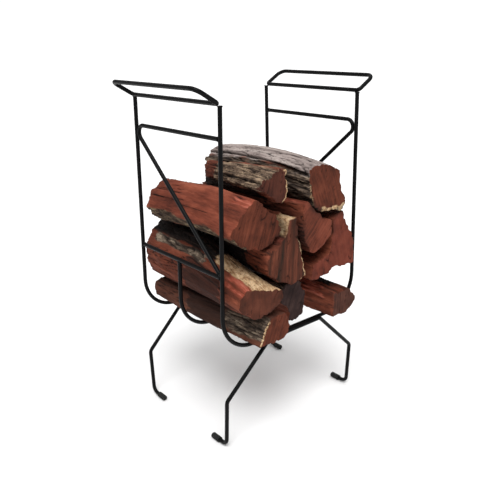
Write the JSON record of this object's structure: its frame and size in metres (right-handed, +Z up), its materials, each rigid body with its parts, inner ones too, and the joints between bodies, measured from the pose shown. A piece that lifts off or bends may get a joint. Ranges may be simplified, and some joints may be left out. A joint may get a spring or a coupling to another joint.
{
  "type": "firewood bundle in a rod rack",
  "caption": "Free-standing round-rod log rack with two carrying handles, filled with split red hardwood logs stacked lengthwise.",
  "frame": {"origin": "on the floor, under the middle of the rack", "axes": "+Z up; +X towards the right handle; the logs lie along Y with their sawn ends towards -Y, the front"},
  "size_m": [0.4424, 0.344, 0.6875],
  "materials": {
    "black_rod": "satin black powder coat",
    "black_rubber": "matt moulded",
    "red_split_wood": "rough split hardwood, sawn ends, patches of pale sapwood",
    "dark_split_wood": "weathered split hardwood with bark, sawn ends",
    "grey_bark_wood": "dry grey bark over red hardwood, sawn ends"
  },
  "bodies": {
    "root": {"front_cradle_rod": "black_rod", "middle_cradle_rod": "black_rod", "back_cradle_rod": "black_rod", "left_handle_loop": "black_rod", "right_handle_loop": "black_rod", "left_brace_rod": "black_rod", "right_brace_rod": "black_rod", "left_cross_bar": "black_rod", "right_cross_bar": "black_rod", "front_leg_rod": "black_rod", "back_leg_rod": "black_rod", "front_left_foot_tip": "black_rubber", "front_right_foot_tip": "black_rubber", "back_left_foot_tip": "black_rubber", "back_right_foot_tip": "black_rubber", "log_top_bark": "grey_bark_wood", "log_top_wedge": "dark_split_wood", "log_upper_left": "red_split_wood", "log_upper_right": "red_split_wood", "log_middle": "red_split_wood", "log_right": "red_split_wood", "log_left": "red_split_wood", "log_bottom_left": "dark_split_wood", "log_bottom_middle": "dark_split_wood", "log_bottom_right": "red_split_wood"}
  },
  "joints": []
}
